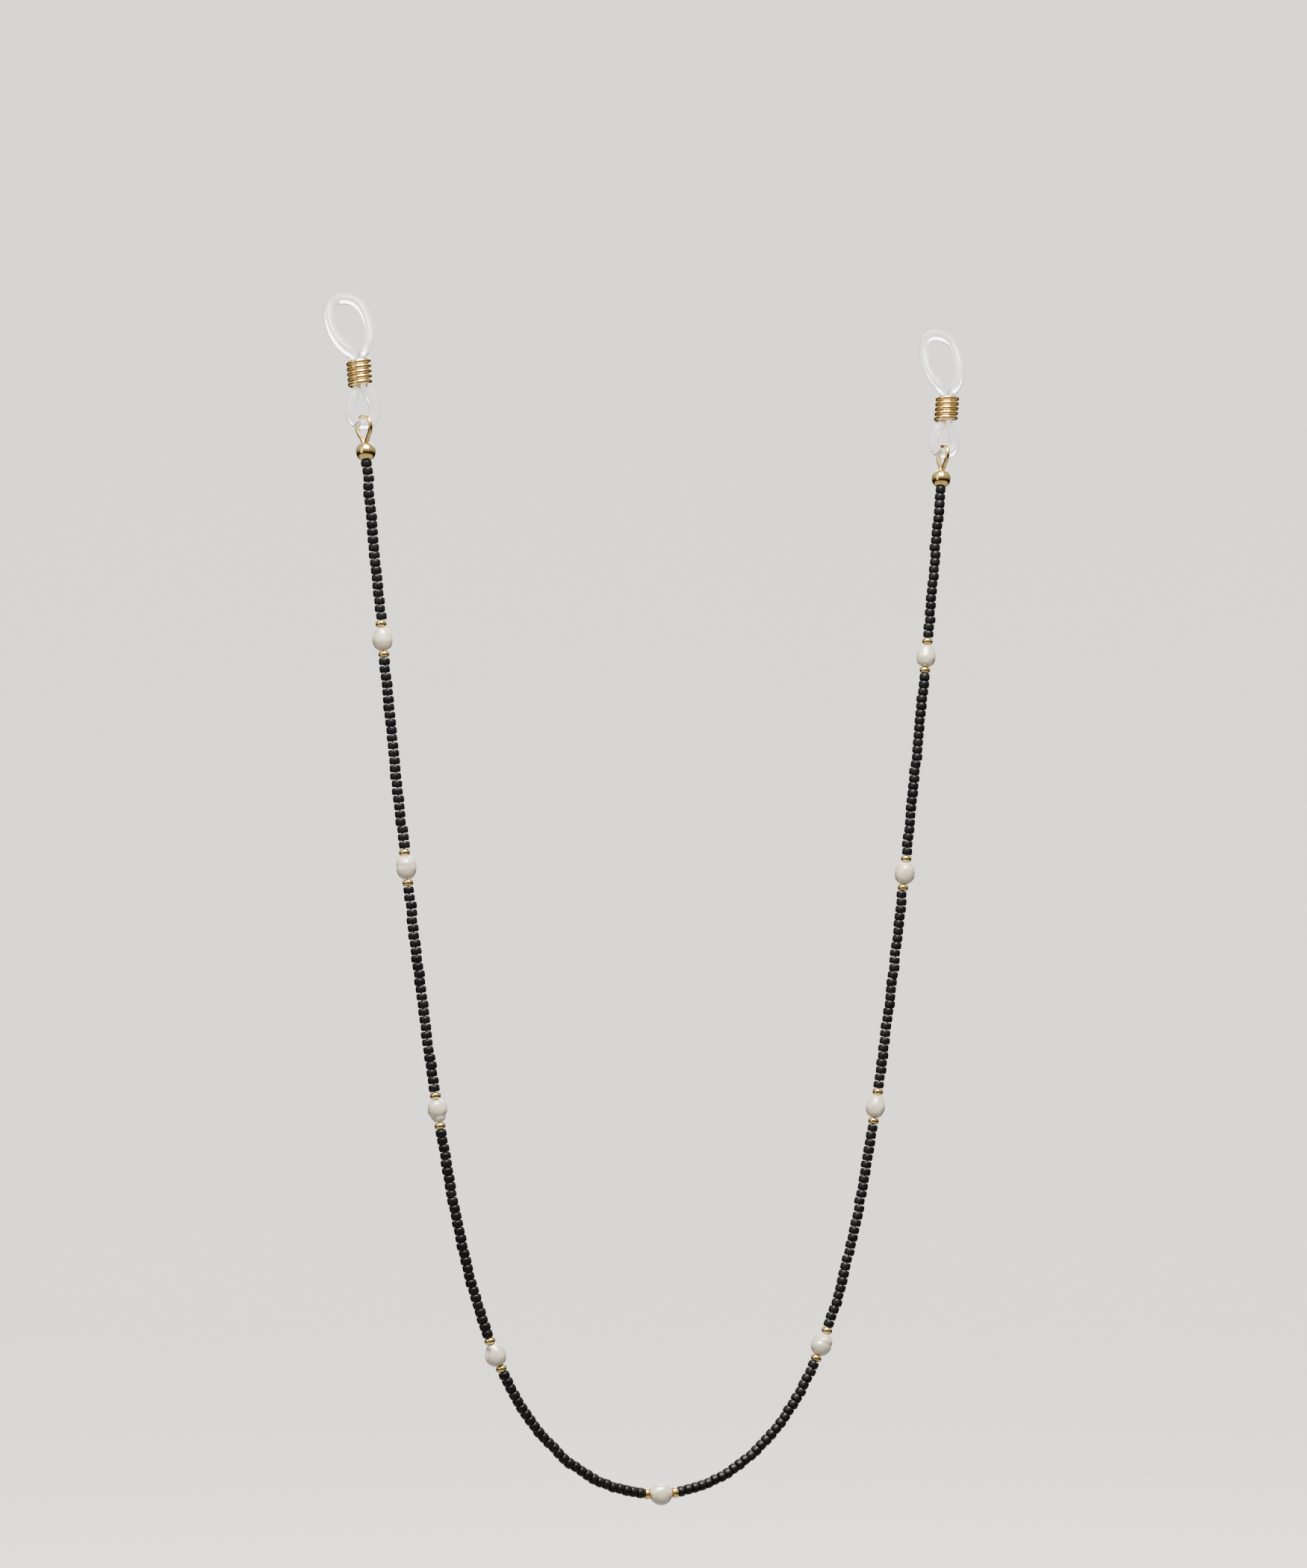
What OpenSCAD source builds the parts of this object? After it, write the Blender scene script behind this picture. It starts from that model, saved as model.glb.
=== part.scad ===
// Beaded eyeglass retainer strap, hanging from its two end loops.
// A silicone loop grips each temple of a pair of glasses. A coiled sleeve slides on it to tighten it.
// Under each loop hang a wire loop, a crimp with its cover, and one half of the bead strand.
// +Z is up and X runs from the left temple to the right one. The strand hangs in the plane y = 0.
// The origin is midway between the two loops, level with the middle of the temples.

/* [Strand] */
// Length of one black seed bead along the wire
bead_l = 1.37; // [1.2:0.01:1.38]
// Length of wire that one seed bead takes up
bead_pitch = 1.41; // [1.4:0.01:1.5]
// Outer diameter of a seed bead
bead_d = 2.1; // [1.9:0.05:2.3]
// Hole through every bead and pearl
bead_hole = 0.8; // [0.7:0.05:0.9]
// Length of a gold spacer bead
spacer_l = 1.2; // [0.8:0.05:1.4]
// Diameter of a gold spacer bead
spacer_d = 2.1; // [1.8:0.05:2.4]
// Length of a pearl along the wire
pearl_l = 4.3; // [3.6:0.1:4.6]
// Free play on the wire between neighbouring groups
play = 0.06; // [0.05:0.01:0.08]
// Diameter of the beading wire
wire_d = 0.38; // [0.3:0.01:0.45]

/* [Hang] */
// Slope that the strand would reach without the pull of its ends, in degrees
hang_angle = 80; // [76:1:82]
// Arc length over which the bottom of the strand rounds
hang_round = 39; // [32:1:46]
// Slope that the strand gains from the bottom to its end, in degrees
hang_gain = 4.9; // [3:0.1:6]

/* [End fittings] */
// Diameter of the round crimp cover
cover_d = 3.7; // [3.6:0.05:4]
// Depth of the cover's flat underside below its middle
cover_low = 1.45; // [1.4:0.05:1.5]
// Wall of the crimp cover
cover_wall = 0.45; // [0.4:0.05:0.5]
// Outer diameter of the wire loop's tube
guard_d = 0.76; // [0.7:0.01:0.8]
// Width of the wire loop, outside
guard_w = 4.7; // [4.6:0.05:4.8]
// Height of the wire loop above the middle of the crimp cover
guard_h = 6.8; // [6.7:0.05:7]
// Turn of the left wire loop about the strand, in degrees
guard_turn_left = 18; // [0:1:18]
// Turn of the right wire loop about the strand, in degrees
guard_turn_right = 0; // [0:1:20]

/* [Silicone loops] */
// Diameter of the silicone cord
cord_d = 2; // [1.8:0.05:2.1]
// Width of the lower loop between the middles of its sides
lower_w = 4.7; // [4.4:0.1:5]
// Width of the upper loop between the middles of its sides
upper_w = 7.4; // [7:0.1:7.6]
// Height of the whole silicone loop, from middle to middle
loop_h = 25.6; // [25:0.1:26]
// How far the upper loop leans back, in degrees
loop_lean = 28; // [20:1:32]

/* [Coiled sleeves] */
// Wire of the sleeves
coil_wire = 0.9; // [0.8:0.01:0.92]
// Outer diameter of the sleeves
coil_d = 4.7; // [4.6:0.05:4.8]
// Turns in the left sleeve
turns_left = 5; // [4:0.5:5]
// Turns in the right sleeve
turns_right = 5; // [4:0.5:5]
// Height of the left sleeve above the bottom of its loop, middle to middle
height_left = 9.6; // [9:0.1:10.5]
// Height of the right sleeve above the bottom of its loop, middle to middle
height_right = 8.7; // [8.5:0.1:10.5]

/* [Hidden] */
// Seed beads in each run, from the end of the strand to its middle
RUNS = [21, 25, 27, 28, 27];
// Pearl diameters, from the one nearest the end to the one in the middle
PEARL_D = [3.7, 3.85, 3.7, 3.9, 3.8];

LEFT = -1;
RIGHT = 1;
step = 0.5;
facets = 48;

// Wire taken up by a run of n beads, and by a pearl with its two spacers.
function run_l(n) = n * bead_pitch;
spacer_step = spacer_l + play;
pearl_step = pearl_l + 2 * play + 2 * spacer_step;

// Distance along the wire, from the middle of the strand, to the middle of pearl i and the top of run i.
function pearl_at(i) = i == 5 ? 0
    : pearl_at(i + 1) + pearl_step + run_l(RUNS[i]);
function run_top(i) = pearl_at(i) + pearl_step / 2 + run_l(RUNS[i - 1]);
strand_half = run_top(1);

// Slope of the strand at distance s, and its place there, added up from the middle.
function tanh(x) = 1 - 2 / (exp(2 * x) + 1);
function slope(s) = hang_angle * tanh(s / hang_round) + hang_gain * s / strand_half;
course = [
    for (s = 0, p = [0, 0]; s <= strand_half + cover_d;
        p = p + step * [cos(slope(s + step / 2)), sin(slope(s + step / 2))], s = s + step) p
];
function on_course(s) = let (i = floor(s / step), f = s / step - i)
    course[i] * (1 - f) + course[i + 1] * f;

// Heights in the frame of an end: z = 0 is the middle of the crimp cover.
guard_mid = guard_h - guard_d / 2;
bend_z = guard_h - guard_d - cord_d / 2 - 0.05;
end_slope = slope(strand_half);
coil_pitch = coil_wire + 0.04;
function coil_h(turns) = turns * coil_pitch + coil_wire;
throat = coil_d / 2 - coil_wire - 0.03;
throat_r = throat / 2 - 0.01;
seat_rise = 18.8;
end_place = on_course(strand_half) + cover_low * [cos(end_slope), sin(end_slope)];
temple_z = end_place[1] + (bend_z + seat_rise) * sin(end_slope);

// Puts a piece made about its own Z axis at distance s along one half of the strand.
module strung(s, side) {
    p = on_course(s);
    mirror([side == LEFT ? 1 : 0, 0, 0])
        translate([p[0], 0, p[1] - temple_z])
            rotate([0, 90 - slope(s), 0])
                children();
}

// Puts a piece made in the frame of an end at the end of one half of the strand.
module at_end(side) {
    mirror([side == LEFT ? 1 : 0, 0, 0])
        translate([end_place[0], 0, end_place[1] - temple_z])
            rotate([0, 90 - end_slope, 0])
                children();
}

// A smooth curve through a list of points, with n steps between neighbours.
function pick(p, i, closed) = let (n = len(p)) closed ? p[(i + n) % n] : p[max(0, min(n - 1, i))];
function blend(a, b, c, d, t) = b + t / 2 * (c - a)
    + t * t / 2 * (2 * a - 5 * b + 4 * c - d)
    + t * t * t / 2 * (3 * b - a - 3 * c + d);
function curve(p, n, closed = false) = concat(
    [
        for (i = [0 : len(p) - (closed ? 1 : 2)], k = [0 : n - 1])
            blend(pick(p, i - 1, closed), p[i], pick(p, i + 1, closed), pick(p, i + 2, closed), k / n)
    ],
    closed ? [] : [p[len(p) - 1]]
);

// One ring of a swept cord: around c, square to the direction t, with ref as its fixed side.
function unit(v) = v / norm(v);
function ring(c, t, ref, r, n) = let (a = unit(cross(t, ref)), b = cross(a, unit(t)))
    [for (j = [0 : n - 1]) c + r * (cos(360 * j / n) * a + sin(360 * j / n) * b)];
function heading(p, i, closed) = pick(p, i + 1, closed) - pick(p, i - 1, closed);

// Sides between ring i and ring k of n points each, counted from the point numbered base.
function wall(i, k, n, base = 0) = [
    for (j = [0 : n - 1]) let (m = (j + 1) % n)
        [base + i * n + j, base + i * n + m, base + k * n + m, base + k * n + j]
];
function turned(faces) = [for (f = faces) [for (i = [len(f) - 1 : -1 : 0]) f[i]]];
function joined(lists) = [for (l = lists, f = l) f];

// A round cord along points p, with its radius at each point in r.
module cord(p, r, ref, n, closed = false) {
    count = len(p);
    rings = joined([for (i = [0 : count - 1]) ring(p[i], heading(p, i, closed), ref, r[i], n)]);
    sides = joined([for (i = [0 : count - (closed ? 1 : 2)]) wall(i, (i + 1) % count, n)]);
    caps = closed ? [] : [
        [for (j = [n - 1 : -1 : 0]) j],
        [for (j = [0 : n - 1]) (count - 1) * n + j]
    ];
    polyhedron(rings, concat(sides, caps));
}

// An open tube along points p, with outer radius r and bore radius b.
module tube(p, r, b, ref, n) {
    count = len(p);
    outer = joined([for (i = [0 : count - 1]) ring(p[i], heading(p, i, false), ref, r, n)]);
    inner = joined([for (i = [0 : count - 1]) ring(p[i], heading(p, i, false), ref, b, n)]);
    shift = count * n;
    last = (count - 1) * n;
    sides = joined([for (i = [0 : count - 2]) wall(i, i + 1, n)]);
    bore = joined([for (i = [0 : count - 2]) turned(wall(i, i + 1, n, shift))]);
    ends = joined([
        for (j = [0 : n - 1]) let (m = (j + 1) % n) [
            [m, j, shift + j, shift + m],
            [last + j, last + m, shift + last + m, shift + last + j]
        ]
    ]);
    polyhedron(concat(outer, inner), concat(sides, bore, ends));
}

// A turned bead with a hole: half is the outline from its middle to one end, as [radius, height].
module turned_bead(half, hole) {
    lower = [for (i = [len(half) - 1 : -1 : 0]) [half[i][0], -half[i][1]]];
    lip = half[len(half) - 1][1];
    rotate_extrude($fn = facets)
        polygon(concat([[hole / 2, -lip]], lower, half, [[hole / 2, lip]]));
}

module seed_bead() {
    turned_bead([
        [bead_d / 2, bead_l * 0.2],
        [bead_d / 2 - 0.08, bead_l * 0.36],
        [bead_d / 2 - 0.3, bead_l / 2]
    ], bead_hole);
}

module spacer() {
    turned_bead([
        [spacer_d / 2, spacer_l * 0.12],
        [spacer_d / 2 - 0.12, spacer_l * 0.35],
        [spacer_d / 2 - 0.36, spacer_l / 2]
    ], bead_hole);
}

// A slightly long pearl, flat where its hole comes out.
module pearl_bead(d) {
    flat = acos(0.24);
    turned_bead([for (a = [flat / 18 : flat / 9 : flat + 1]) [
        d / 2 * cos(min(a, flat)),
        pearl_l / 2 * sin(min(a, flat)) / sin(flat)
    ]], bead_hole);
}

module bead_run(i, side) {
    color([0.12, 0.12, 0.13])
        for (k = [1 : RUNS[i - 1]])
            strung(run_top(i) - (k - 0.5) * bead_pitch, side)
                seed_bead();
}

module spacer_above(i, side) {
    color([0.83, 0.68, 0.4])
        strung(pearl_at(i) + pearl_step / 2 - play - spacer_l / 2, side)
            spacer();
}

module spacer_below(i, side) {
    color([0.83, 0.68, 0.4])
        strung(pearl_at(i) - pearl_step / 2 + play + spacer_l / 2, side)
            spacer();
}

module pearl(i, side) {
    color([0.95, 0.93, 0.88])
        strung(pearl_at(i), side)
            pearl_bead(PEARL_D[i - 1]);
}

// Beading wire in the strand's plane between two distances, at most one bead between its rings.
function wire_points(low, high, side) = let (n = ceil((high - low) / 1.4)) [
    for (k = [0 : n]) let (p = on_course(low + (high - low) * k / n))
        [side * p[0], 0, p[1] - temple_z]
];

module wire_along(p, ref) {
    color([0.6, 0.6, 0.62])
        cord(p, [for (q = p) wire_d / 2], ref, 8);
}

// Wire through run i, from just above pearl i to the top of the pearl above it.
module beading_wire(i, side) {
    low = pearl_at(i) + pearl_l / 2 + 3 * play;
    high = pearl_at(i - 1) + pearl_l / 2;
    wire_along(wire_points(low, high, side), [0, 1, 0]);
}

// Wire through the first run, up through the crimp, round inside the wire loop and back into the crimp.
function in_end_frame(p) = let (d = [p[0], p[2] + temple_z] - end_place)
    [d[0] * sin(end_slope) - d[1] * cos(end_slope), 0, d[0] * cos(end_slope) + d[1] * sin(end_slope)];
function beside(x, turn, z) = [x * sin(turn), x * cos(turn), z];
module beading_wire_end(side, turn) {
    low = pearl_at(1) + pearl_l / 2 + 3 * play;
    run = [for (p = wire_points(low, strand_half - bead_l / 2, RIGHT)) in_end_frame(p)];
    x = crimp_bore / 2 - wire_d / 2 - 0.03;
    rise = [
        beside(0, turn, -cover_low - 0.1),
        beside(0.6 * x, turn, -crimp_l / 2 - 0.2),
        beside(x, turn, -crimp_l / 2),
        beside(x, turn, 0)
    ];
    tail = [beside(-x, turn, 0), beside(-x, turn, -crimp_l / 2 - 0.1)];
    at_end(side)
        wire_along(concat(run, rise, guard_points(turn, 4), tail), [cos(turn), -sin(turn), 0]);
}

// Wire through both halves of the lowest runs, ending in the fourth pearl on each side.
module beading_wire_bottom() {
    high = pearl_at(4) + pearl_l / 2;
    left = wire_points(step, high, LEFT);
    right = wire_points(step, high, RIGHT);
    wire_along(concat([for (k = [len(left) - 1 : -1 : 0]) left[k]], right), [0, 1, 0]);
}

// A crimp that holds the wire and its returning end.
crimp_d = 1.8;
crimp_l = 1.8;
crimp_bore = 1.2;
module crimp_tube(side) {
    color([0.85, 0.72, 0.45])
        at_end(side)
            difference() {
                cylinder(h = crimp_l, d = crimp_d, center = true, $fn = facets);
                cylinder(h = crimp_l + 1, d = crimp_bore, center = true, $fn = facets);
            }
}

// The round cover that is closed over the crimp. Its split faces the wearer.
module crimp_cover(side) {
    split = 0.16;
    color([0.85, 0.7, 0.42])
        at_end(side)
            difference() {
                sphere(d = cover_d, $fn = facets);
                sphere(d = cover_d - 2 * cover_wall, $fn = facets);
                translate([0, 0, -cover_low - cover_d])
                    cylinder(h = cover_d, d = cover_d, $fn = facets);
                translate([0, 0, -cover_d])
                    cylinder(h = cover_d, d = bead_hole + 0.2, $fn = facets);
                cylinder(h = cover_d, d = 1.85, $fn = facets);
                translate([-split / 2, 0, -cover_d / 2])
                    cube([split, cover_d, cover_d]);
            }
}

// The wire loop: a tube that guards the wire where it turns round the silicone.
guard_foot = crimp_l / 2 + play;
guard_half = (guard_w - guard_d) / 2;
foot_x = guard_d / 2 + 0.02;
GUARD = [
    [foot_x, guard_foot],
    [foot_x, 1.65],
    [0.9, 2.5],
    [0.84 * guard_half, 3.55],
    [guard_half, 4.7],
    [0.76 * guard_half, 5.85],
    [0, guard_mid]
];
function guard_points(turn, n) = let (last = len(GUARD) - 1) curve([
    for (k = [-last : last]) let (p = GUARD[last - abs(k)])
        beside((k < 0 ? 1 : -1) * p[0], turn, p[1])
], n);
module wire_loop(side, turn) {
    color([0.85, 0.7, 0.42])
        at_end(side)
            tube(guard_points(turn, 4), guard_d / 2, guard_d / 2 - 0.13, [cos(turn), -sin(turn), 0], 10);
}

// One silicone loop, pinched where its two sides run through the sleeve and leaning back above it.
function loop_points(sleeve, turns) = let (
    low = sleeve - coil_h(turns) / 2,
    high = sleeve + coil_h(turns) / 2,
    top = loop_h - high,
    half = [
        [0, 0],
        [0.68 * lower_w / 2, 0.07 * low],
        [lower_w / 2, 0.3 * low],
        [0.88 * lower_w / 2, 0.58 * low],
        [0.6 * lower_w / 2, 0.8 * low],
        [throat / 2, low],
        [throat / 2, sleeve],
        [throat / 2, high],
        [0.46 * upper_w / 2, high + 0.12 * top],
        [0.86 * upper_w / 2, high + 0.32 * top],
        [upper_w / 2, high + 0.58 * top],
        [0.86 * upper_w / 2, high + 0.84 * top],
        [0.48 * upper_w / 2, high + 0.965 * top],
        [0, high + top]
    ],
    n = len(half)
) curve(concat(half, [for (k = [n - 2 : -1 : 1]) [-half[k][0], half[k][1]]]), 3, true);
function leaned(p, high) = let (up = max(0, p[1] - high))
    [p[0], up * sin(loop_lean), min(p[1], high) + up * cos(loop_lean)];
function eased(u) = let (v = max(0, min(1, u))) v * v * (3 - 2 * v);
module silicone_loop(side, sleeve, turns) {
    flat = loop_points(sleeve, turns);
    high = sleeve + coil_h(turns) / 2;
    widen = cord_d / 2 - throat_r;
    radii = [for (p = flat) throat_r + widen * eased((abs(p[1] - sleeve) - coil_h(turns) / 2) / 1.6)];
    color([0.93, 0.92, 0.9])
        at_end(side)
            translate([0, 0, bend_z])
                cord([for (p = flat) leaned(p, high)], radii, [0, 1, 0], 12, true);
}

// The sleeve: close turns of wire that hold the two sides of the loop together.
module coil_sleeve(side, sleeve, turns) {
    per_turn = 20;
    coil_r = (coil_d - coil_wire) / 2;
    p = [
        for (k = [0 : turns * per_turn]) let (a = 360 * k / per_turn)
            [coil_r * cos(a), coil_r * sin(a), coil_pitch * (k / per_turn - turns / 2)]
    ];
    color([0.85, 0.7, 0.42])
        at_end(side)
            translate([0, 0, bend_z + sleeve])
                cord(p, [for (q = p) coil_wire / 2], [0, 0, 1], 8);
}

silicone_loop(LEFT, height_left, turns_left);  // silicone_loop_left
silicone_loop(RIGHT, height_right, turns_right);  // silicone_loop_right
coil_sleeve(LEFT, height_left, turns_left);  // coil_sleeve_left
coil_sleeve(RIGHT, height_right, turns_right);  // coil_sleeve_right
wire_loop(LEFT, guard_turn_left);  // wire_loop_left
wire_loop(RIGHT, guard_turn_right);  // wire_loop_right
crimp_cover(LEFT);  // crimp_cover_left
crimp_cover(RIGHT);  // crimp_cover_right
crimp_tube(LEFT);  // crimp_tube_left
crimp_tube(RIGHT);  // crimp_tube_right
beading_wire_end(LEFT, guard_turn_left);  // beading_wire_left_1
beading_wire_end(RIGHT, guard_turn_right);  // beading_wire_right_1
beading_wire(2, LEFT);  // beading_wire_left_2
beading_wire(2, RIGHT);  // beading_wire_right_2
beading_wire(3, LEFT);  // beading_wire_left_3
beading_wire(3, RIGHT);  // beading_wire_right_3
beading_wire(4, LEFT);  // beading_wire_left_4
beading_wire(4, RIGHT);  // beading_wire_right_4
beading_wire_bottom();
bead_run(1, LEFT);  // bead_run_left_1
bead_run(1, RIGHT);  // bead_run_right_1
bead_run(2, LEFT);  // bead_run_left_2
bead_run(2, RIGHT);  // bead_run_right_2
bead_run(3, LEFT);  // bead_run_left_3
bead_run(3, RIGHT);  // bead_run_right_3
bead_run(4, LEFT);  // bead_run_left_4
bead_run(4, RIGHT);  // bead_run_right_4
bead_run(5, LEFT);  // bead_run_left_5
bead_run(5, RIGHT);  // bead_run_right_5
spacer_above(1, LEFT);  // spacer_above_left_1
spacer_above(1, RIGHT);  // spacer_above_right_1
spacer_above(2, LEFT);  // spacer_above_left_2
spacer_above(2, RIGHT);  // spacer_above_right_2
spacer_above(3, LEFT);  // spacer_above_left_3
spacer_above(3, RIGHT);  // spacer_above_right_3
spacer_above(4, LEFT);  // spacer_above_left_4
spacer_above(4, RIGHT);  // spacer_above_right_4
spacer_above(5, LEFT);  // spacer_above_left_5
spacer_above(5, RIGHT);  // spacer_above_right_5
spacer_below(1, LEFT);  // spacer_below_left_1
spacer_below(1, RIGHT);  // spacer_below_right_1
spacer_below(2, LEFT);  // spacer_below_left_2
spacer_below(2, RIGHT);  // spacer_below_right_2
spacer_below(3, LEFT);  // spacer_below_left_3
spacer_below(3, RIGHT);  // spacer_below_right_3
spacer_below(4, LEFT);  // spacer_below_left_4
spacer_below(4, RIGHT);  // spacer_below_right_4
pearl(1, LEFT);  // pearl_left_1
pearl(1, RIGHT);  // pearl_right_1
pearl(2, LEFT);  // pearl_left_2
pearl(2, RIGHT);  // pearl_right_2
pearl(3, LEFT);  // pearl_left_3
pearl(3, RIGHT);  // pearl_right_3
pearl(4, LEFT);  // pearl_left_4
pearl(4, RIGHT);  // pearl_right_4
pearl(5, RIGHT);  // pearl_middle
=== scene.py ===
"""A beaded eyeglass retainer strap, hanging from its two silicone temple loops.

Lengths are in millimetres until a piece is finished, and every finished piece is scaled to metres.
"""

import random
from math import atan2, ceil, cos, exp, floor, pi, radians, sin, sqrt, tau

import bmesh
import bpy
from mathutils import Matrix, Vector, noise


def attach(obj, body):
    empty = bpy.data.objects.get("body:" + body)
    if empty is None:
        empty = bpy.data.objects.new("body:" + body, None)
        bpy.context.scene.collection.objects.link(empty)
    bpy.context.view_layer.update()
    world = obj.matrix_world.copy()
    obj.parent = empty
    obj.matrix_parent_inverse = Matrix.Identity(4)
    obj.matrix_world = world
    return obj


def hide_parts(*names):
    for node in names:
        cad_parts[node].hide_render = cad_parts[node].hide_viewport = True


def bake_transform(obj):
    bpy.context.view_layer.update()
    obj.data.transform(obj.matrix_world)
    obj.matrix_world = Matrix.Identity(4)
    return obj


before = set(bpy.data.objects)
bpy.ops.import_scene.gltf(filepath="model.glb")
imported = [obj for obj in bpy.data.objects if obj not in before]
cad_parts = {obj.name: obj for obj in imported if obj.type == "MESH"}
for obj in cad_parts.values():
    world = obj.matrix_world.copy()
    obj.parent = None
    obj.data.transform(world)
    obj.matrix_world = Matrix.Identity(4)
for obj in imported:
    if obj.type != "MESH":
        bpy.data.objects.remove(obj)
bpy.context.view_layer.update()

MM = 0.001
TO_METRES = Matrix.Scale(MM, 4)
MERGE = 1e-5
SIDES = {"left": -1, "right": 1}

# ---------------------------------------------------------------------------------------------
# Sizes that the pieces share with the CAD model
# ---------------------------------------------------------------------------------------------

# Beads in each run, from the top of the strand down.
RUNS = [21, 25, 27, 28, 27]
BEAD_PITCH = 1.41
BEAD_L = 1.37
SPACER_L = 1.2
SPACER_D = 2.1
PEARL_L = 4.3
PEARL_D = [3.7, 3.85, 3.7, 3.9, 3.8]
BORE_R = 0.4
PLAY = 0.06
WIRE_D = 0.38

# The hanging curve: the slope in degrees that its bottom bend leads to, the length of wire that the
# bend takes, and how many degrees steeper the strand is by its end. It is added up in short steps.
HANG_ANGLE = 80
HANG_ROUND = 39
HANG_GAIN = 4.9
STEP = 0.5

# The crimp cover is a ball cut flat at its low end, where the wire comes in.
COVER_D = 3.7
COVER_LOW = 1.45
CRIMP_L = 1.8
CRIMP_BORE = 1.2

# The wire loop, and how far it is turned about the strand.
GUARD_D = 0.76
GUARD_W = 4.7
GUARD_H = 6.8
GUARD_TURN = {"left": radians(18), "right": 0.0}

# The silicone loop: widths of its two parts, full height, how far the upper part leans back, and
# its gap to the wire loop that hangs in it.
CORD_D = 2.0
LOWER_W = 4.7
UPPER_W = 7.4
LOOP_H = 25.6
LOOP_LEAN = radians(28)
HANG_GAP = 0.05

# The coil, and its middle's height above the lowest point of the silicone's middle line. The two
# stretches of cord in it stay just free of the coil and of each other.
COIL_WIRE = 0.9
COIL_D = 4.7
COIL_PITCH = COIL_WIRE + 0.04
COIL_TURNS = {"left": 5.0, "right": 5.0}
COIL_HEIGHT = {"left": 9.6, "right": 8.7}
COIL_FREE = 0.03
CORD_FREE = 0.01

# Height of a temple's seat in the upper part, above the same point.
SEAT_RISE = 18.8

PEARL_STEP = PEARL_L + 4 * PLAY + 2 * SPACER_L
THROAT = COIL_D / 2 - COIL_WIRE - COIL_FREE
THROAT_R = THROAT / 2 - CORD_FREE
BEND_Z = GUARD_H - GUARD_D - CORD_D / 2 - HANG_GAP


def pearl_at(i):
    """Length of wire from the middle of the strand to the middle of pearl i."""
    return 0 if i == 5 else pearl_at(i + 1) + PEARL_STEP + RUNS[i] * BEAD_PITCH


def run_top(i):
    """Length of wire from the middle of the strand to the top of run i."""
    return pearl_at(i) + PEARL_STEP / 2 + RUNS[i - 1] * BEAD_PITCH


STRAND_HALF = run_top(1)


def slope(s):
    """Slope of the strand at a length of wire from its middle."""
    rounding = 1 - 2 / (exp(2 * s / HANG_ROUND) + 1)
    return radians(HANG_ANGLE * rounding + HANG_GAIN * s / STRAND_HALF)


def hang():
    """The strand's course from its middle to its end, added up in short steps."""
    places = [Vector((0, 0, 0))]
    for k in range(ceil((STRAND_HALF + COVER_D) / STEP)):
        middle = slope((k + 0.5) * STEP)
        places.append(places[-1] + STEP * Vector((cos(middle), 0, sin(middle))))
    return places


COURSE = hang()
END_SLOPE = slope(STRAND_HALF)


def on_course(s):
    """Place on the strand's right half at a length of wire from its middle."""
    i = floor(s / STEP)
    return COURSE[i].lerp(COURSE[i + 1], s / STEP - i)


END_PLACE = on_course(STRAND_HALF) + COVER_LOW * Vector((cos(END_SLOPE), 0, sin(END_SLOPE)))
TEMPLE_Z = END_PLACE.z + (BEND_Z + SEAT_RISE) * sin(END_SLOPE)


def strung(s, side):
    """Matrix that threads a piece, made about its own Z axis, on one half of the strand."""
    p = on_course(s)
    place = Matrix.Translation((side * p.x, 0, p.z - TEMPLE_Z))
    return place @ Matrix.Rotation(side * (pi / 2 - slope(s)), 4, "Y")


def at_end(side):
    """Matrix that puts an end fitting, made about the middle of its crimp cover, in its place."""
    place = Matrix.Translation((side * END_PLACE.x, 0, END_PLACE.z - TEMPLE_Z))
    return place @ Matrix.Rotation(side * (pi / 2 - END_SLOPE), 4, "Y")


def coil_length(name):
    """Length of one coil from the underside of its first turn to the top of its last."""
    return COIL_TURNS[name] * COIL_PITCH + COIL_WIRE


# ---------------------------------------------------------------------------------------------
# Mesh helpers
# ---------------------------------------------------------------------------------------------


def finish_piece(bm, name, body, material, nodes, smoothing=0):
    """Turns a bmesh in millimetres into a finished piece that rides on a body."""
    bmesh.ops.transform(bm, matrix=TO_METRES, verts=bm.verts)
    for face in bm.faces:
        face.smooth = True
    mesh = bpy.data.meshes.new(name)
    bm.to_mesh(mesh)
    bm.free()
    piece = bpy.data.objects.new(name, mesh)
    bpy.context.scene.collection.objects.link(piece)
    mesh.materials.append(material)
    if smoothing:
        subdivide = piece.modifiers.new("Smoothing", "SUBSURF")
        subdivide.levels = smoothing
        subdivide.render_levels = smoothing
    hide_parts(*nodes)
    if body:
        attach(piece, body)
    return piece


def smooth_path(points, per):
    """A smooth curve through the points, with per steps between neighbours."""
    last = len(points) - 1
    path = []
    for i in range(last):
        a, b, c, d = (Vector(points[max(0, min(last, i + k))]) for k in (-1, 0, 1, 2))
        for k in range(per):
            t = k / per
            square = t * t / 2 * (2 * a - 5 * b + 4 * c - d)
            cube = t * t * t / 2 * (3 * b - a - 3 * c + d)
            path.append(b + t / 2 * (c - a) + square + cube)
    path.append(Vector(points[-1]))
    return path


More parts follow.
